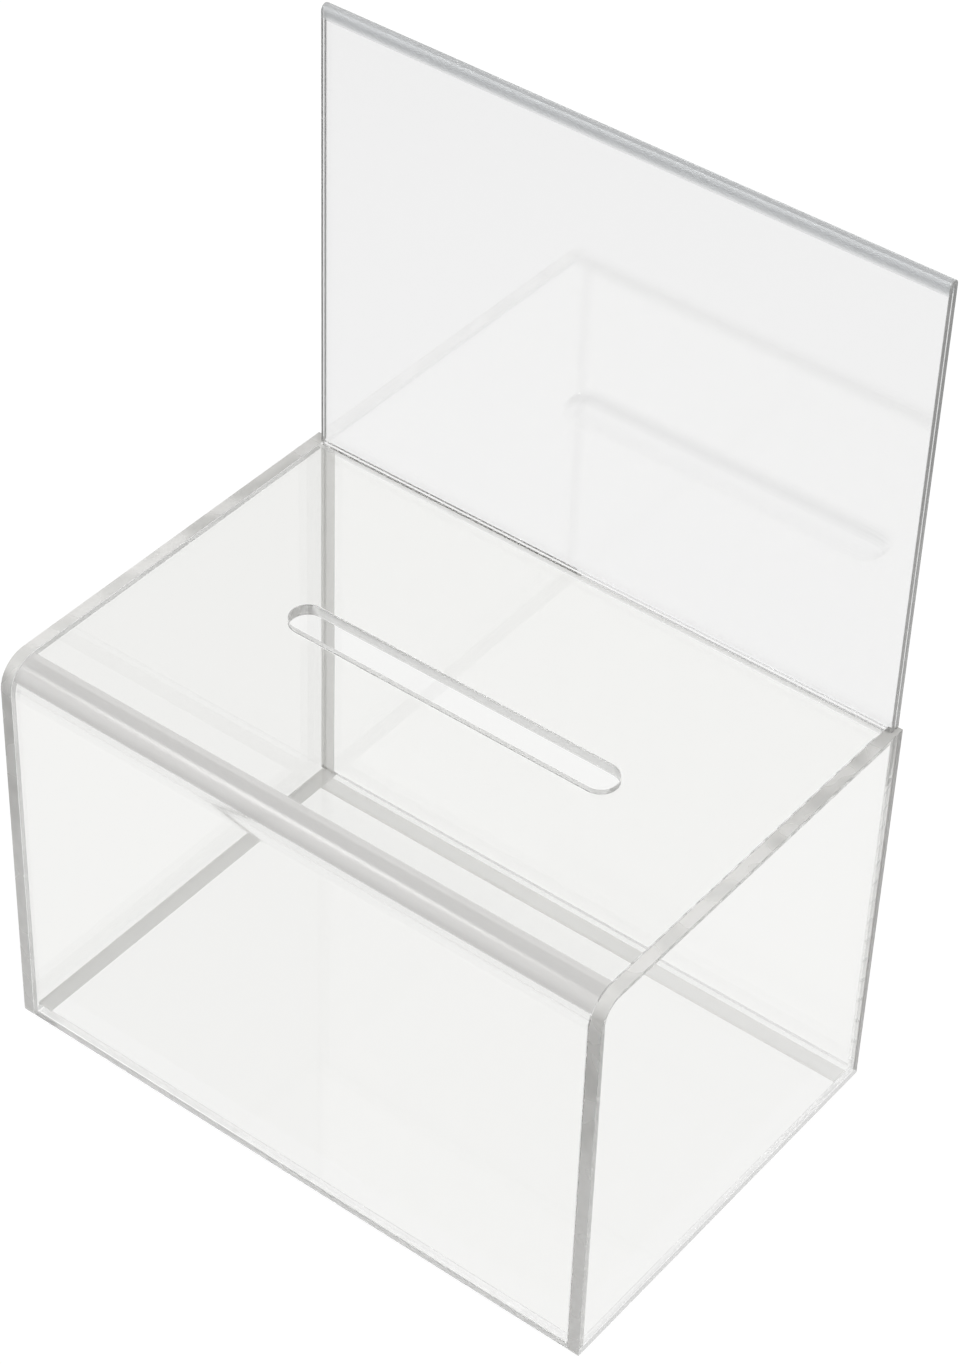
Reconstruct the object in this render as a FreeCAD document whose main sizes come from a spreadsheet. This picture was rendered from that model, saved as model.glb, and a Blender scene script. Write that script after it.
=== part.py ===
import FreeCAD, Part
import math
import os
import Sketcher

# Clear acrylic donation box with a folded sign holder standing along its rear edge.
# Millimetres. +Z is up, the front of the box faces -Y, and the origin lies on the
# resting plane under the middle of the box.

os.makedirs("parts", exist_ok=True)
doc = FreeCAD.newDocument("donation_box")
sheet = doc.addObject("Spreadsheet::Sheet", "Sizes")

sizes = [
    ("overall_width", 216.0),        # across the two side panels
    ("overall_depth", 143.0),        # front face to rear face
    ("case_height", 142.0),          # resting plane to the top face
    ("side_thickness", 4.0),
    ("front_thickness", 4.0),        # the bent front and top sheet
    ("rear_thickness", 4.0),
    ("base_thickness", 4.0),
    ("bend_inner_radius", 6.0),
    ("slot_length", 118.0),          # over the round ends
    ("slot_width", 11.5),
    ("slot_from_front", 72.5),       # front face to the middle of the slot
    ("sign_height", 155.0),          # top face to the top of the fold
    ("sign_sheet", 1.6),
    ("sign_gap", 0.6),               # room for a printed card
    ("sign_inset", 1.5),             # sign end to the box's outer side
    ("base_side_clearance", 0.15),
    ("base_front_clearance", 0.3),
    ("base_top_clearance", 0.3),     # base to the rear panel's lower edge
]
for row, (alias, value) in enumerate(sizes, start=1):
    sheet.set("A%d" % row, alias)
    sheet.set("B%d" % row, str(value))
    sheet.setAlias("B%d" % row, alias)
doc.recompute()

# The places that the outlines are first drawn at, from the same cells that hold them there.
front = -sheet.overall_depth / 2
rear = sheet.overall_depth / 2
top = sheet.case_height
inside = sheet.overall_width / 2 - sheet.side_thickness
bend_radius = sheet.bend_inner_radius + sheet.front_thickness
bend = (front + bend_radius, top - bend_radius)
quarter = math.pi / 2


def plane(body, role):
    for feature in body.Origin.OriginFeatures:
        if feature.Role == role:
            return feature
    raise RuntimeError("no plane " + role)


def new_sketch(body, name, role):
    sketch = body.newObject("Sketcher::SketchObject", name)
    sketch.AttachmentSupport = [(plane(body, role), "")]
    sketch.MapMode = "FlatFace"
    return sketch


def line(sketch, start, end):
    return sketch.addGeometry(
        Part.LineSegment(FreeCAD.Vector(start[0], start[1], 0), FreeCAD.Vector(end[0], end[1], 0)), False)


def arc(sketch, centre, radius, first, last):
    circle = Part.Circle(FreeCAD.Vector(centre[0], centre[1], 0), FreeCAD.Vector(0, 0, 1), radius)
    return sketch.addGeometry(Part.ArcOfCircle(circle, first, last), False)


def join(sketch, *pairs):
    for one, end_one, two, end_two in pairs:
        sketch.addConstraint(Sketcher.Constraint("Coincident", one, end_one, two, end_two))


def smooth(sketch, *pairs):
    for one, end_one, two, end_two in pairs:
        sketch.addConstraint(Sketcher.Constraint("Tangent", one, end_one, two, end_two))


def level(sketch, *lines):
    for one in lines:
        sketch.addConstraint(Sketcher.Constraint("Horizontal", one))


def upright(sketch, *lines):
    for one in lines:
        sketch.addConstraint(Sketcher.Constraint("Vertical", one))


def size(sketch, name, kind, ends, formula):
    value = float(sheet.evalExpression(formula))
    index = sketch.addConstraint(Sketcher.Constraint(kind, *ends, value))
    sketch.renameConstraint(index, name)
    sketch.setExpression("Constraints." + name, formula)


def pad(body, sketch, name, formula, midplane=False):
    feature = body.newObject("PartDesign::Pad", name)
    feature.Profile = sketch
    if midplane:
        feature.SideType = "Symmetric"
    feature.setExpression("Length", formula)
    body.Tip = feature
    return feature


def rectangle(sketch, low, high):
    lower = line(sketch, low, (high[0], low[1]))
    right = line(sketch, (high[0], low[1]), high)
    upper = line(sketch, high, (low[0], high[1]))
    left = line(sketch, (low[0], high[1]), low)
    join(sketch, (lower, 2, right, 1), (right, 2, upper, 1), (upper, 2, left, 1), (left, 2, lower, 1))
    level(sketch, lower, upper)
    upright(sketch, right, left)
    return lower, right, upper, left


# Front and top: one sheet, heat-bent along the front edge of the box, with the round-ended
# slot cut through the top. It lies between the two side panels.
front_top = doc.addObject("PartDesign::Body", "FrontTopSheet")
front_top.Label = "front_top_sheet"
profile = new_sketch(front_top, "BentProfile", "YZ_Plane")
outer_front = line(profile, (front, 0), (front, bend[1]))
outer_bend = arc(profile, bend, bend_radius, quarter, 2 * quarter)
outer_top = line(profile, (bend[0], top), (rear - sheet.rear_thickness, top))
rear_end = line(profile, (rear - sheet.rear_thickness, top),
                (rear - sheet.rear_thickness, top - sheet.front_thickness))
inner_top = line(profile, (rear - sheet.rear_thickness, top - sheet.front_thickness),
                 (bend[0], top - sheet.front_thickness))
inner_bend = arc(profile, bend, sheet.bend_inner_radius, quarter, 2 * quarter)
inner_front = line(profile, (front + sheet.front_thickness, bend[1]), (front + sheet.front_thickness, 0))
lower_end = line(profile, (front + sheet.front_thickness, 0), (front, 0))
smooth(profile, (outer_front, 2, outer_bend, 2), (outer_bend, 1, outer_top, 1),
       (inner_top, 2, inner_bend, 1), (inner_bend, 2, inner_front, 1))
join(profile, (outer_top, 2, rear_end, 1), (rear_end, 2, inner_top, 1),
     (inner_front, 2, lower_end, 1), (lower_end, 2, outer_front, 1), (outer_bend, 3, inner_bend, 3))
upright(profile, outer_front, rear_end)
level(profile, outer_top, lower_end)
profile.addConstraint(Sketcher.Constraint("PointOnObject", outer_front, 1, -1))
size(profile, "bend_radius", "Radius", (inner_bend,), "Sizes.bend_inner_radius")
size(profile, "thickness", "DistanceY", (rear_end, 2, rear_end, 1), "Sizes.front_thickness")
size(profile, "height", "DistanceY", (outer_front, 1, outer_top, 1), "Sizes.case_height")
size(profile, "front_face", "DistanceX", (outer_front, 1, -1, 1), "Sizes.overall_depth / 2")
size(profile, "top_run", "DistanceX", (outer_front, 1, outer_top, 2),
     "Sizes.overall_depth - Sizes.rear_thickness")
pad(front_top, profile, "BentSheet", "Sizes.overall_width - 2 * Sizes.side_thickness", True)

slot = new_sketch(front_top, "SlotOutline", "XY_Plane")
slot_radius = sheet.slot_width / 2
slot_run = sheet.slot_length / 2 - slot_radius
slot_front = line(slot, (-slot_run, -slot_radius), (slot_run, -slot_radius))
slot_right = arc(slot, (slot_run, 0), slot_radius, -quarter, quarter)
slot_rear = line(slot, (slot_run, slot_radius), (-slot_run, slot_radius))
slot_left = arc(slot, (-slot_run, 0), slot_radius, quarter, 3 * quarter)
smooth(slot, (slot_front, 2, slot_right, 1), (slot_right, 2, slot_rear, 1),
       (slot_rear, 2, slot_left, 1), (slot_left, 2, slot_front, 1))
level(slot, slot_front)
slot.addConstraint(Sketcher.Constraint("PointOnObject", slot_right, 3, -1))
size(slot, "half_run", "DistanceX", (-1, 1, slot_right, 3), "(Sizes.slot_length - Sizes.slot_width) / 2")
size(slot, "run", "DistanceX", (slot_left, 3, slot_right, 3), "Sizes.slot_length - Sizes.slot_width")
size(slot, "end_radius", "Radius", (slot_right,), "Sizes.slot_width / 2")
slot.setExpression("AttachmentOffset.Base.y", "Sizes.slot_from_front - Sizes.overall_depth / 2")
doc.recompute()
whole = front_top.Shape.Volume
cut = front_top.newObject("PartDesign::Pocket", "Slot")
cut.Profile = slot
cut.Reversed = True
cut.setExpression("Length", "Sizes.case_height + Sizes.front_thickness")
front_top.Tip = cut
doc.recompute()
print("slot removes", round(whole - front_top.Shape.Volume, 1), "mm3")
if whole - front_top.Shape.Volume < 1000:
    raise RuntimeError("the slot cuts nothing")


# Side panels: the full outline of the box seen from its side, with the front top corner
# rounded like the bend, so that their cut edges show at the front and on top.
def side_panel(name, label, along):
    body = doc.addObject("PartDesign::Body", name)
    body.Label = label
    outline = new_sketch(body, name + "Outline", "YZ_Plane")
    front_edge = line(outline, (front, 0), (front, bend[1]))
    corner = arc(outline, bend, bend_radius, quarter, 2 * quarter)
    top_edge = line(outline, (bend[0], top), (rear, top))
    rear_edge = line(outline, (rear, top), (rear, 0))
    lower_edge = line(outline, (rear, 0), (front, 0))
    smooth(outline, (front_edge, 2, corner, 2), (corner, 1, top_edge, 1))
    join(outline, (top_edge, 2, rear_edge, 1), (rear_edge, 2, lower_edge, 1), (lower_edge, 2, front_edge, 1))
    upright(outline, front_edge, rear_edge)
    level(outline, top_edge, lower_edge)
    outline.addConstraint(Sketcher.Constraint("PointOnObject", front_edge, 1, -1))
    size(outline, "corner_radius", "Radius", (corner,), "Sizes.bend_inner_radius + Sizes.front_thickness")
    size(outline, "height", "DistanceY", (front_edge, 1, top_edge, 1), "Sizes.case_height")
    size(outline, "depth", "DistanceX", (front_edge, 1, rear_edge, 2), "Sizes.overall_depth")
    size(outline, "front_face", "DistanceX", (front_edge, 1, -1, 1), "Sizes.overall_depth / 2")
    pad(body, outline, name + "Sheet", "Sizes.side_thickness")
    body.setExpression("Placement.Base.x", along)
    return body


left_side = side_panel("LeftSidePanel", "left_side_panel", "-Sizes.overall_width / 2")
right_side = side_panel("RightSidePanel", "right_side_panel", "Sizes.overall_width / 2 - Sizes.side_thickness")

# Rear panel: flat, between the side panels, flush with the top face and raised off the
# resting plane so that the base passes under its lower edge.
rear_panel = doc.addObject("PartDesign::Body", "RearPanel")
rear_panel.Label = "rear_panel"
back = new_sketch(rear_panel, "RearOutline", "XZ_Plane")
lower, _, upper, _ = rectangle(back, (-inside, sheet.base_thickness + sheet.base_top_clearance), (inside, top))
size(back, "width", "DistanceX", (lower, 1, lower, 2), "Sizes.overall_width - 2 * Sizes.side_thickness")
size(back, "half_width", "DistanceX", (-1, 1, lower, 2), "Sizes.overall_width / 2 - Sizes.side_thickness")
size(back, "lower_edge", "DistanceY", (-1, 1, lower, 1), "Sizes.base_thickness + Sizes.base_top_clearance")
size(back, "upper_edge", "DistanceY", (-1, 1, upper, 1), "Sizes.case_height")
pad(rear_panel, back, "RearSheet", "Sizes.rear_thickness")
rear_panel.setExpression("Placement.Base.y", "Sizes.overall_depth / 2")

# Base panel: flat, a close sliding fit between the side panels, from the front sheet's inner
# face to the rear face of the box.
base_panel = doc.addObject("PartDesign::Body", "BasePanel")
base_panel.Label = "base_panel"
floor = new_sketch(base_panel, "BaseOutline", "XY_Plane")
base_side = inside - sheet.base_side_clearance
base_front = front + sheet.front_thickness + sheet.base_front_clearance
near, _, far, _ = rectangle(floor, (-base_side, base_front), (base_side, rear))
size(floor, "width", "DistanceX", (near, 1, near, 2),
     "Sizes.overall_width - 2 * Sizes.side_thickness - 2 * Sizes.base_side_clearance")
size(floor, "half_width", "DistanceX", (-1, 1, near, 2),
     "Sizes.overall_width / 2 - Sizes.side_thickness - Sizes.base_side_clearance")
size(floor, "rear_edge", "DistanceY", (-1, 1, far, 1), "Sizes.overall_depth / 2")
size(floor, "length", "DistanceY", (near, 1, far, 2),
     "Sizes.overall_depth - Sizes.front_thickness - Sizes.base_front_clearance")
pad(base_panel, floor, "BaseSheet", "Sizes.base_thickness")

# Sign holder: one thin sheet folded back on itself, the fold on top, both leaves standing along
# the rear panel's upper edge with room between them for a card put in from either end. The sheet
# is given in three stretches that meet at the bend lines: the two flat leaves and the round fold.
def sign_leaf(name, label, behind):
    body = doc.addObject("PartDesign::Body", name)
    body.Label = label
    outline = new_sketch(body, name + "Outline", "XZ_Plane")
    half = sheet.overall_width / 2 - sheet.sign_inset
    lower, _, upper, _ = rectangle(outline, (-half, 0), (half, fold_height))
    outline.addConstraint(Sketcher.Constraint("PointOnObject", lower, 1, -1))
    size(outline, "half_width", "DistanceX", (-1, 1, lower, 2), "Sizes.overall_width / 2 - Sizes.sign_inset")
    size(outline, "width", "DistanceX", (lower, 1, lower, 2), "Sizes.overall_width - 2 * Sizes.sign_inset")
    size(outline, "bend_line", "DistanceY", (lower, 1, upper, 2),
         "Sizes.sign_height - Sizes.sign_sheet - Sizes.sign_gap / 2")
    pad(body, outline, name + "Sheet", "Sizes.sign_sheet")
    body.setExpression("Placement.Base.y", "Sizes.overall_depth / 2 - " + behind)
    body.setExpression("Placement.Base.z", "Sizes.case_height")
    return body


leaf = sheet.sign_sheet
room = sheet.sign_gap
fold_radius = leaf + room / 2
fold_height = sheet.sign_height - fold_radius
front_leaf = sign_leaf("SignFrontLeaf", "sign_front_leaf", "Sizes.sign_sheet - Sizes.sign_gap")
rear_leaf = sign_leaf("SignRearLeaf", "sign_rear_leaf", "0")

sign_fold = doc.addObject("PartDesign::Body", "SignFold")
sign_fold.Label = "sign_fold"
fold = new_sketch(sign_fold, "FoldProfile", "YZ_Plane")
outer_fold = arc(fold, (-fold_radius, 0), fold_radius, 0.0, 2 * quarter)
front_step = line(fold, (-2 * fold_radius, 0), (-leaf - room, 0))
inner_fold = arc(fold, (-fold_radius, 0), room / 2, 0.0, 2 * quarter)
rear_step = line(fold, (-leaf, 0), (0, 0))
join(fold, (outer_fold, 2, front_step, 1), (front_step, 2, inner_fold, 2),
     (inner_fold, 1, rear_step, 1), (rear_step, 2, outer_fold, 1),
     (inner_fold, 3, outer_fold, 3), (rear_step, 2, -1, 1))
level(fold, front_step, rear_step)
fold.addConstraint(Sketcher.Constraint("PointOnObject", outer_fold, 3, -1))
size(fold, "half_gap", "Radius", (inner_fold,), "Sizes.sign_gap / 2")
size(fold, "leaf", "DistanceX", (rear_step, 1, rear_step, 2), "Sizes.sign_sheet")
pad(sign_fold, fold, "FoldedEdge", "Sizes.overall_width - 2 * Sizes.sign_inset", True)
sign_fold.setExpression("Placement.Base.y", "Sizes.overall_depth / 2")
sign_fold.setExpression("Placement.Base.z",
                        "Sizes.case_height + Sizes.sign_height - Sizes.sign_sheet - Sizes.sign_gap / 2")

doc.recompute()
failed = [thing.Name for thing in doc.Objects if "Invalid" in thing.State or "Error" in thing.State]
if failed:
    raise RuntimeError("did not build: " + ", ".join(failed))

pieces = [front_top, left_side, right_side, rear_panel, base_panel, front_leaf, rear_leaf, sign_fold]
for piece in pieces:
    if piece.Shape.isNull() or not piece.Shape.isValid() or len(piece.Shape.Solids) != 1:
        raise RuntimeError("bad shape: " + piece.Label)
for piece in pieces:
    piece.Shape.exportStep("parts/" + piece.Label + ".step")
    box = piece.Shape.BoundBox
    print(piece.Label, round(piece.Shape.Volume / 1000, 2), "cm3",
          [round(v, 2) for v in (box.XMin, box.XMax, box.YMin, box.YMax, box.ZMin, box.ZMax)])
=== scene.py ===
import math

import bpy
from mathutils import Matrix, Vector


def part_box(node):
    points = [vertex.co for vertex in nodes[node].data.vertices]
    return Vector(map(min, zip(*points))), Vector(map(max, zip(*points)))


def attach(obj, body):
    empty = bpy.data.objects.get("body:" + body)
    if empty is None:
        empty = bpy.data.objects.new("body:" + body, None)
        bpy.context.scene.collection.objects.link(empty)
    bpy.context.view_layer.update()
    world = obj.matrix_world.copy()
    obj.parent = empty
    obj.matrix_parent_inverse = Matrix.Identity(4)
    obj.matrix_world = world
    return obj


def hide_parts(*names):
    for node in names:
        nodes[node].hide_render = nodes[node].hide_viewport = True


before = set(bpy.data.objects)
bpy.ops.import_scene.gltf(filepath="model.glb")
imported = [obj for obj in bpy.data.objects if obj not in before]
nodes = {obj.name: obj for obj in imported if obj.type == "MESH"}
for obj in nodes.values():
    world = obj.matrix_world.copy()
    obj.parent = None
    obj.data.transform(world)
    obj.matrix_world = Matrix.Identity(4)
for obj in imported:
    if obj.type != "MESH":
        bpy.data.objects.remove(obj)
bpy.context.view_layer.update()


# Side panels: two flat sheets of clear cast acrylic, cut to the whole side
# outline of the box and rounded at the front top corner. The other sheets
# stand between them and are cemented edge to face.
def linear(hex_colour):
    parts = [int(hex_colour[i:i + 2], 16) / 255 for i in (1, 3, 5)]
    return tuple(c / 12.92 if c <= 0.04045 else ((c + 0.055) / 1.055) ** 2.4
                 for c in parts) + (1.0,)


def add(tree, kind, inputs=None, **settings):
    made = tree.nodes.new("ShaderNode" + kind)
    for name, value in settings.items():
        setattr(made, name, value)
    for name, value in (inputs or {}).items():
        if isinstance(value, bpy.types.NodeSocket):
            tree.links.new(value, made.inputs[name])
        else:
            made.inputs[name].default_value = value
    return made


def zone(tree, spot, strength, limits):
    # How strongly a point belongs to a stretch of the sheet. Each limit is an
    # axis, the place where the stretch starts and the place where it is full.
    for axis, start, full in limits:
        side = add(tree, "MapRange",
                   {"Value": spot.outputs[axis],
                    "From Min": start, "From Max": full}).outputs[0]
        strength = add(tree, "Math", {0: side, 1: strength},
                       operation="MULTIPLY").outputs[0]
    return strength


def cast_acrylic(name, cast_faces, haze_and_shade, joints, clear="#fefefd"):
    # Cast acrylic: water-clear and glassy on the cast faces, which look along
    # the axes in cast_faces. The machined edges are satin and read as soft
    # grey bands, clouded in patches about 9 mm long where the cutter
    # chattered. Haze is (strength, roughness, colour, limits); a grey haze
    # colour also serves as painted shade, as on the bend of the front sheet.
    # A joint is (strength, limits): cement fills it, so its faces don't show.
    patch_length = 0.009
    edge_dark, edge_pale = linear("#e9e8e4"), linear("#f7f6f3")
    satin_roughness = 0.3
    satin_transmission = 0.2
    material = bpy.data.materials.new(name)
    material.use_nodes = True
    tree = material.node_tree
    tree.nodes.clear()
    place = add(tree, "TexCoord").outputs["Object"]
    spot = add(tree, "SeparateXYZ", {"Vector": place})
    normal = add(tree, "NewGeometry").outputs["Normal"]
    facing = add(tree, "SeparateXYZ", {"Vector": normal})
    cast = 0.0
    for axis in cast_faces:
        along = add(tree, "Math", {0: facing.outputs[axis]},
                    operation="ABSOLUTE").outputs[0]
        cast = add(tree, "Math", {0: cast, 1: along},
                   operation="MAXIMUM").outputs[0]
    cut = add(tree, "MapRange", {"Value": cast, "From Min": 0.6,
                                 "From Max": 0.4}).outputs[0]
    cloud = add(tree, "TexNoise", {"Vector": place, "Scale": 1 / patch_length,
                                   "Detail": 0.0}).outputs[0]
    chatter = add(tree, "MapRange",
                  {"Value": cloud, "From Min": 0.3, "From Max": 0.7,
                   "To Min": 0.75, "To Max": 1.0}).outputs[0]
    satin = add(tree, "Math", {0: cut, 1: chatter},
                operation="MULTIPLY").outputs[0]
    rough = add(tree, "Math", {0: satin, 1: satin_roughness},
                operation="MULTIPLY").outputs[0]
    patch = add(tree, "MapRange", {"Value": cloud, "From Min": 0.35,
                                   "From Max": 0.65}).outputs[0]
    edge = add(tree, "Mix", {0: patch, 6: edge_dark, 7: edge_pale},
               data_type="RGBA").outputs[2]
    tint = add(tree, "Mix", {0: satin, 6: linear(clear), 7: edge},
               data_type="RGBA").outputs[2]
    # A grey haze colour can stand in as painted shade, as it does on the bend.
    for strength, roughness, colour, limits in haze_and_shade:
        haze_and_shade_weight = zone(tree, spot, strength, limits)
        satin = add(tree, "Math", {0: satin, 1: haze_and_shade_weight},
                    operation="MAXIMUM").outputs[0]
        blur = add(tree, "Math", {0: haze_and_shade_weight, 1: roughness},
                   operation="MULTIPLY").outputs[0]
        rough = add(tree, "Math", {0: blur, 1: rough},
                    operation="MAXIMUM").outputs[0]
        tint = add(tree, "Mix", {0: haze_and_shade_weight, 6: tint, 7: linear(colour)},
                   data_type="RGBA").outputs[2]
    through = add(tree, "MapRange",
                  {"Value": satin, "To Min": 1.0,
                   "To Max": satin_transmission}).outputs[0]
    wet = 0.0
    for strength, limits in joints:
        wet = add(tree, "Math", {0: wet, 1: zone(tree, spot, strength, limits)},
                  operation="MAXIMUM").outputs[0]
    dry = add(tree, "Math", {0: 1.0, 1: wet}, operation="SUBTRACT").outputs[0]
    shader = add(tree, "BsdfPrincipled",
                 {"Base Color": tint, "Roughness": rough, "IOR": 1.49,
                  "Transmission Weight": through, "Alpha": dry})
    depth = add(tree, "VolumeAbsorption",
                {"Color": linear("#808080"), "Density": 1.0})
    add(tree, "OutputMaterial", {"Surface": shader.outputs[0],
                                 "Volume": depth.outputs[0]})
    return material


def dress(piece, material, edge=0.0003):
    # A hairline of air stays between the sheets, and the sharp edges are
    # broken with a scraper.
    hairline = 0.00002
    same_corner = 0.000001
    piece.data.materials.clear()
    piece.data.materials.append(material)
    joined = piece.modifiers.new("joined corners", "WELD")
    joined.merge_threshold = same_corner
    shrink = piece.modifiers.new("hairline seam", "DISPLACE")
    shrink.strength = -hairline
    shrink.mid_level = 0.0
    broken = piece.modifiers.new("broken edges", "BEVEL")
    broken.width = edge
    broken.segments = 3
    broken.limit_method = "ANGLE"
    broken.angle_limit = math.radians(40)
    broken.use_clamp_overlap = True
    flat = piece.modifiers.new("flat faces", "WEIGHTED_NORMAL")
    flat.keep_sharp = False


side_rear_edge = ("Y", 0.0710, 0.0711)
side_foot = ("Z", 0.0006, 0.0005)
side_acrylic = cast_acrylic(
    "cast acrylic, side panels", "X",
    haze_and_shade=[(0.9, 0.3, "#d8d7d3", [side_rear_edge])],
    joints=[(0.6, [side_foot])])
dress(nodes["left_side_panel"], side_acrylic)
dress(nodes["right_side_panel"], side_acrylic)


# Front and top: one sheet of clear cast acrylic, heated along a line and bent
# over the front edge of the box, with the round-ended money slot cut through
# the top. The heated line is hazy, and the grey of its haze is painted shade
# for the darker room that the curved sheet refracts and mirrors. The ends
# are cemented to the sides.
ahead_of_top = ("Y", -0.0613, -0.0615)
bend_outside = ("Z", 0.1365, 0.1369)
bend_fringe = ("Z", 0.1312, 0.1322)
front_foot = ("Z", 0.0005, 0.0004)
sign_foot_strip = ("Y", 0.0656, 0.0662)
top_face = ("Z", 0.1415, 0.1416)
slot_walls = [("X", -0.066, -0.0655), ("X", 0.066, 0.0655),
              ("Y", -0.0065, -0.006), ("Y", 0.0085, 0.008),
              ("Z", 0.1384, 0.1385), ("Z", 0.1417, 0.1416)]
top_rear_edge = ("Y", 0.0672, 0.0673)
under_top_face = ("Z", 0.1415, 0.1414)
left_end = ("X", -0.1035, -0.1036)
right_end = ("X", 0.1035, 0.1036)
front_acrylic = cast_acrylic(
    "cast acrylic, front sheet", "YZ",
    # The bend: heat haze whose grey colour is painted shade for the darker room
    # that the curved sheet refracts and mirrors.
    haze_and_shade=[(1.0, 0.18, "#dfdedc", [ahead_of_top, bend_outside]),
          (0.06, 2.0, "#ffffff", [bend_fringe, ahead_of_top]),
          (0.4, 0.3, "#f1f0ec", [front_foot]),
          (0.7, 0.3, "#f6f6f4", [sign_foot_strip, top_face]),
          (0.5, 0.3, "#f6f6f4", slot_walls)],
    joints=[(1.0, [top_rear_edge, under_top_face]),
            (0.4, [left_end]),
            (0.4, [right_end])])
dress(nodes["front_top_sheet"], front_acrylic)


# Rear panel: a flat sheet of clear cast acrylic between the side panels. It
# is cemented to them and under the sign, and the cement has left a hazy
# margin on its inside along the left corner.
rear_inside = ("Y", 0.0680, 0.0679)
rear_left_margin = ("X", -0.0982, -0.0984)
rear_left_seam = [("X", -0.1029, -0.1026), ("X", -0.1015, -0.1018)]
rear_foot = ("Z", 0.0050, 0.0049)
rear_top_edge = ("Z", 0.1411, 0.1412)
rear_acrylic = cast_acrylic(
    "cast acrylic, rear panel", "XYZ",
    haze_and_shade=[(0.7, 0.3, "#f1f0ec", [rear_left_margin, rear_inside]),
          (0.8, 0.3, "#e2e1dd", rear_left_seam + [rear_inside])],
    joints=[(1.0, [rear_foot]),
            (1.0, [rear_top_edge])])
dress(nodes["rear_panel"], rear_acrylic)


# Base panel: a flat sheet of clear cast acrylic that closes the box below and
# slides out to the rear, under the rear panel. Its upper face is hazy along
# the left and rear margins, and its front and right margins hardly show.
base_upper_face = ("Z", 0.0030, 0.0031)
base_left_margin = ("X", -0.0979, -0.0981)
base_rear_margin = ("Y", 0.0602, 0.0604)
base_margin_line = ("Y", 0.0613, 0.0611)
base_margin_end = ("Y", 0.0665, 0.0664)
base_rear_edge = ("Y", 0.0711, 0.0712)
base_front_margin = ("Y", -0.058, -0.059)
base_right_margin = ("X", 0.095, 0.096)
under_base_face = ("Z", 0.0036, 0.0035)
base_rear_end = ("Y", 0.0710, 0.0711)
base_acrylic = cast_acrylic(
    "cast acrylic, base panel", "XYZ",
    haze_and_shade=[(0.7, 0.3, "#e8e7e3", [base_left_margin, base_upper_face]),
          (0.65, 0.3, "#e6e5e1",
           [base_rear_margin, base_margin_line, base_upper_face]),
          (0.5, 0.3, "#f1f0ec",
           [base_rear_margin, base_margin_end, base_upper_face]),
          (0.9, 0.3, "#ffffff", [base_rear_edge])],
    joints=[(0.75, [base_front_margin, under_base_face]),
            (0.75, [base_right_margin, under_base_face]),
            (0.6, [base_rear_end])])
dress(nodes["base_panel"], base_acrylic)


# Sign holder: one thin sheet of clear acrylic, folded flat over its top edge
# into two leaves with a hairline between them for a card. It is cemented to
# the rear edge of the box and open at both ends.
low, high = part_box("sign_front_leaf")[0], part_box("sign_fold")[1]
sign_left, sign_right, sign_foot = -0.104, high[0], low[2]
front_face, rear_face = low[1], high[1]
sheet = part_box("sign_front_leaf")[1][1] - front_face
outer = (rear_face - front_face) / 2
inner = outer - sheet
middle, crown = (front_face + rear_face) / 2, high[2] - outer
fold_steps = 16
fold = [math.pi * i / fold_steps for i in range(fold_steps + 1)]


def leaf_line(inset, radius):
    # Up the front leaf, over the fold and down the rear leaf.
    return ([(front_face + inset, sign_foot)]
            + [(middle - radius * math.cos(a), crown + radius * math.sin(a))
               for a in fold]
            + [(rear_face - inset, sign_foot)])


outline, lining = leaf_line(0, outer), leaf_line(sheet, inner)
count = len(outline)
points = [(x, y, z) for x in (sign_left, sign_right)
          for line in (outline, lining) for y, z in line]
faces = []
for i in range(count - 1):
    a, b, c, d = i, count + i, 2 * count + i, 3 * count + i
    faces += [(a + 1, a, c, c + 1), (b, b + 1, d + 1, d),
              (a, a + 1, b + 1, b), (c + 1, c, d, d + 1)]
for a, b in ((0, count), (2 * count - 1, count - 1)):
    faces.append((a, b, 2 * count + b, 2 * count + a))
sign_mesh = bpy.data.meshes.new("sign_holder")
sign_mesh.from_pydata(points, [], faces)
sign_mesh.polygons.foreach_set("use_smooth", [True] * len(faces))
sign = bpy.data.objects.new("sign_holder", sign_mesh)
bpy.context.scene.collection.objects.link(sign)
heated_fold = ("Z", 0.2925, 0.2930)
sign_left_edge = ("X", -0.1037, -0.1038)
sign_right_edge = ("X", 0.1062, 0.1063)
cemented_foot = ("Z", 0.1424, 0.1423)
sign_acrylic = cast_acrylic(
    "thin acrylic, sign", "YZ",
    haze_and_shade=[(0.55, 0.2, "#fafdff", [heated_fold]),
          (0.9, 0.3, "#c6c6c4", [sign_left_edge]),
          (0.9, 0.3, "#c6c6c4", [sign_right_edge])],
    joints=[(1.0, [cemented_foot])],
    clear="#fcfcfc")
dress(sign, sign_acrylic, edge=0.0002)
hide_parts("sign_front_leaf", "sign_rear_leaf", "sign_fold")
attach(sign, "case")


# White sweep: the wide sheet of matt white paper that the box stands on. It
# is laid flat, just clear of the feet of the sheets.
sweep_reach, sweep_level = 3.0, -0.0005
sweep_corners = [(-1, -1), (1, -1), (1, 1), (-1, 1)]
sweep_mesh = bpy.data.meshes.new("white_sweep")
sweep_mesh.from_pydata([(sweep_reach * x, sweep_reach * y, sweep_level)
                        for x, y in sweep_corners], [], [(0, 1, 2, 3)])
sweep = bpy.data.objects.new("white_sweep", sweep_mesh)
bpy.context.scene.collection.objects.link(sweep)
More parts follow.
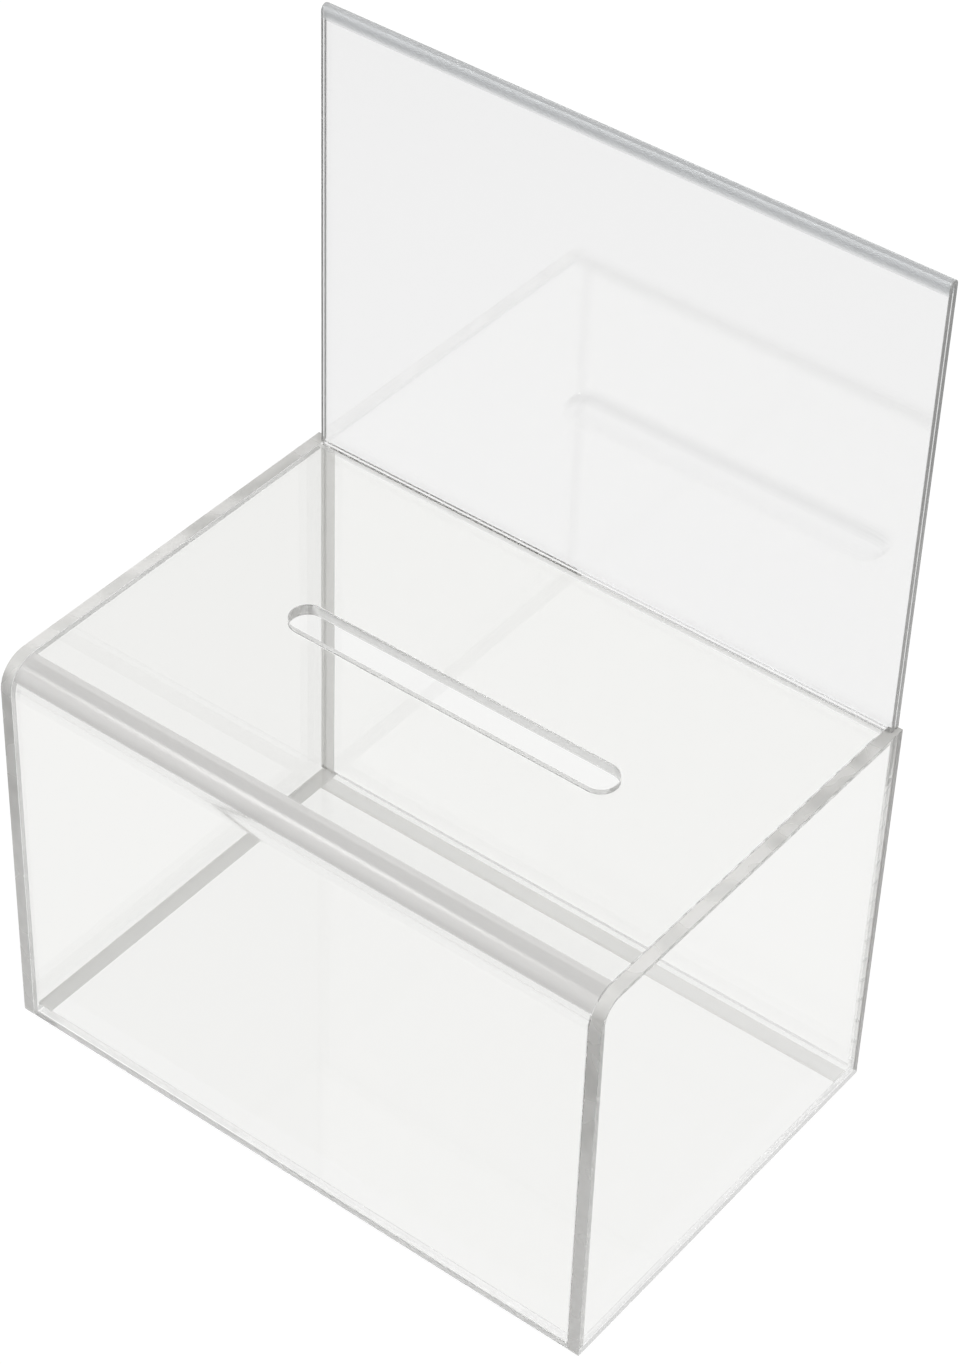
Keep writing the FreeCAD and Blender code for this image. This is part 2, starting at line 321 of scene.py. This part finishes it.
# White sweep paper: pure white to the eye, with a faint shadow under the box.
# In the acrylic it shows as a white that dims away from the box, less so
# through it than mirrored in it.
near, far = 0.25, 0.9
near_white, far_mirrored, far_through = 0.93, 0.75, 0.90
paper_white = linear("#ffffff")
paper = bpy.data.materials.new("white sweep paper")
paper.use_nodes = True
tree = paper.node_tree
tree.nodes.clear()
path = add(tree, "LightPath")
by_camera = path.outputs["Is Camera Ray"]
by_mirror = path.outputs["Is Glossy Ray"]
by_glass = path.outputs["Is Transmission Ray"]
seen = add(tree, "Math", {0: by_camera, 1: by_mirror},
           operation="MAXIMUM").outputs[0]
seen = add(tree, "Math", {0: seen, 1: by_glass},
           operation="MAXIMUM").outputs[0]
matt = add(tree, "BsdfDiffuse", {"Color": linear("#a8a8a8")}).outputs[0]
spot = add(tree, "TexCoord").outputs["Object"]
spread = add(tree, "VectorMath", {0: spot},
             operation="LENGTH").outputs["Value"]
far_white = add(tree, "MapRange",
                {"Value": by_glass, "To Min": far_mirrored,
                 "To Max": far_through}).outputs[0]
fall = add(tree, "MapRange",
           {"Value": spread, "From Min": near, "From Max": far,
            "To Min": near_white, "To Max": far_white},
           interpolation_type="SMOOTHSTEP").outputs[0]
glow = add(tree, "Emission", {"Color": paper_white,
                              "Strength": fall}).outputs[0]
in_acrylic = add(tree, "MixShader", {0: seen, 1: matt, 2: glow}).outputs[0]
white = add(tree, "Emission", {"Color": paper_white,
                               "Strength": 0.94}).outputs[0]
shadow = add(tree, "BsdfDiffuse", {"Color": linear("#616161")}).outputs[0]
open_paper = add(tree, "AddShader", {0: white, 1: shadow}).outputs[0]
surface = add(tree, "MixShader", {0: by_camera, 1: in_acrylic,
                                  2: open_paper}).outputs[0]
add(tree, "OutputMaterial", {"Surface": surface})
sweep_mesh.materials.append(paper)


# Room: pale grey walls that grow lighter upwards, with one large soft window
# that only shows mirrored in the acrylic. The open background is white.
wall_grey, ceiling_grey = 0.43, 0.6
window_heading = (-0.45, -0.6, 0.657)
window_outside, window_inside = math.radians(26), math.radians(10)
world = bpy.data.worlds.new("grey room")
bpy.context.scene.world = world
world.use_nodes = True
tree = world.node_tree
tree.nodes.clear()
path = add(tree, "LightPath")
heading = add(tree, "TexCoord").outputs["Generated"]
height = add(tree, "SeparateXYZ", {"Vector": heading}).outputs["Z"]
walls = add(tree, "MapRange",
            {"Value": height, "From Min": 0.05, "From Max": 0.5,
             "To Min": wall_grey, "To Max": ceiling_grey}).outputs[0]
toward = add(tree, "VectorMath", {0: heading, 1: window_heading},
             operation="DOT_PRODUCT").outputs["Value"]
window = add(tree, "MapRange",
             {"Value": toward, "From Min": math.cos(window_outside),
              "From Max": math.cos(window_inside)},
             interpolation_type="SMOOTHSTEP").outputs[0]
window = add(tree, "Math", {0: window, 1: path.outputs["Is Glossy Ray"]},
             operation="MULTIPLY").outputs[0]
shade = add(tree, "Math", {0: walls, 1: window}, operation="ADD").outputs[0]
room = add(tree, "Background", {"Color": linear("#ffffff"),
                                "Strength": shade}).outputs[0]
backdrop = add(tree, "Background", {"Color": linear("#ffffff"),
                                    "Strength": 1.0}).outputs[0]
surface = add(tree, "MixShader", {0: path.outputs["Is Camera Ray"], 1: room,
                                  2: backdrop}).outputs[0]
add(tree, "OutputWorld", {"Surface": surface})


# Lamps: a large soft box overhead for the plain light, and a round lamp to
# the left of the front that draws the highlight on the bend. A flag keeps the
# round lamp off every sheet but the bent one.
def studio_lamp(name, shape, size, watts, stand, aim):
    lamp = bpy.data.lights.new(name, "AREA")
    lamp.shape = shape
    lamp.size = size
    lamp.energy = watts
    made = bpy.data.objects.new(name, lamp)
    made.location = stand
    made.rotation_mode = "QUATERNION"
    made.rotation_quaternion = (aim - stand).to_track_quat("-Z", "Y")
    bpy.context.scene.collection.objects.link(made)
    return made


soft_box = studio_lamp("soft_box", "SQUARE", 1.2, 10.0,
                       Vector((0.05, -0.2, 1.7)), Vector((0, 0, 0.1)))
soft_box.visible_glossy = False
bend_middle = Vector((0, -0.07, 0.14))
lamp_heading, lamp_distance = Vector((-0.472, -0.445, 0.760)), 2.0
round_lamp = studio_lamp("round_lamp", "DISK", 0.5, 4.6,
                         bend_middle + lamp_distance * lamp_heading,
                         bend_middle)
round_lamp.visible_diffuse = False
round_lamp.visible_transmission = False
flag = bpy.data.collections.new("lit by the round lamp")
flag.objects.link(nodes["front_top_sheet"])
round_lamp.light_linking.receiver_collection = flag


# Camera: a long lens above the right front corner of the box, turned and
# tilted as the photograph was taken.
camera_data = bpy.data.cameras.new("camera")
camera_data.lens = 99.0
camera_data.sensor_width = 36.0
camera_data.sensor_fit = "AUTO"
camera = bpy.data.objects.new("camera", camera_data)
bpy.context.scene.collection.objects.link(camera)
bpy.context.scene.camera = camera
stand = Vector((0.48770, -0.63925, 0.84840))
azimuth = math.radians(36.6637)
elevation = math.radians(41.0666)
roll = math.radians(2.0928)
back = Vector((math.sin(azimuth) * math.cos(elevation),
               -math.cos(azimuth) * math.cos(elevation),
               math.sin(elevation)))
level = Vector((math.cos(azimuth), math.sin(azimuth), 0))
upright = back.cross(level)
across = level * math.cos(roll) + upright * math.sin(roll)
up = upright * math.cos(roll) - level * math.sin(roll)
turn = Matrix((across, up, back)).transposed()
camera.matrix_world = Matrix.Translation(stand) @ turn.to_4x4()

# Light passes through many clear faces on its way to the camera.
faces_in_line = 64
bpy.context.scene.view_settings.view_transform = "Standard"
bpy.context.scene.cycles.max_bounces = faces_in_line
bpy.context.scene.cycles.transmission_bounces = faces_in_line
bpy.context.scene.cycles.glossy_bounces = faces_in_line
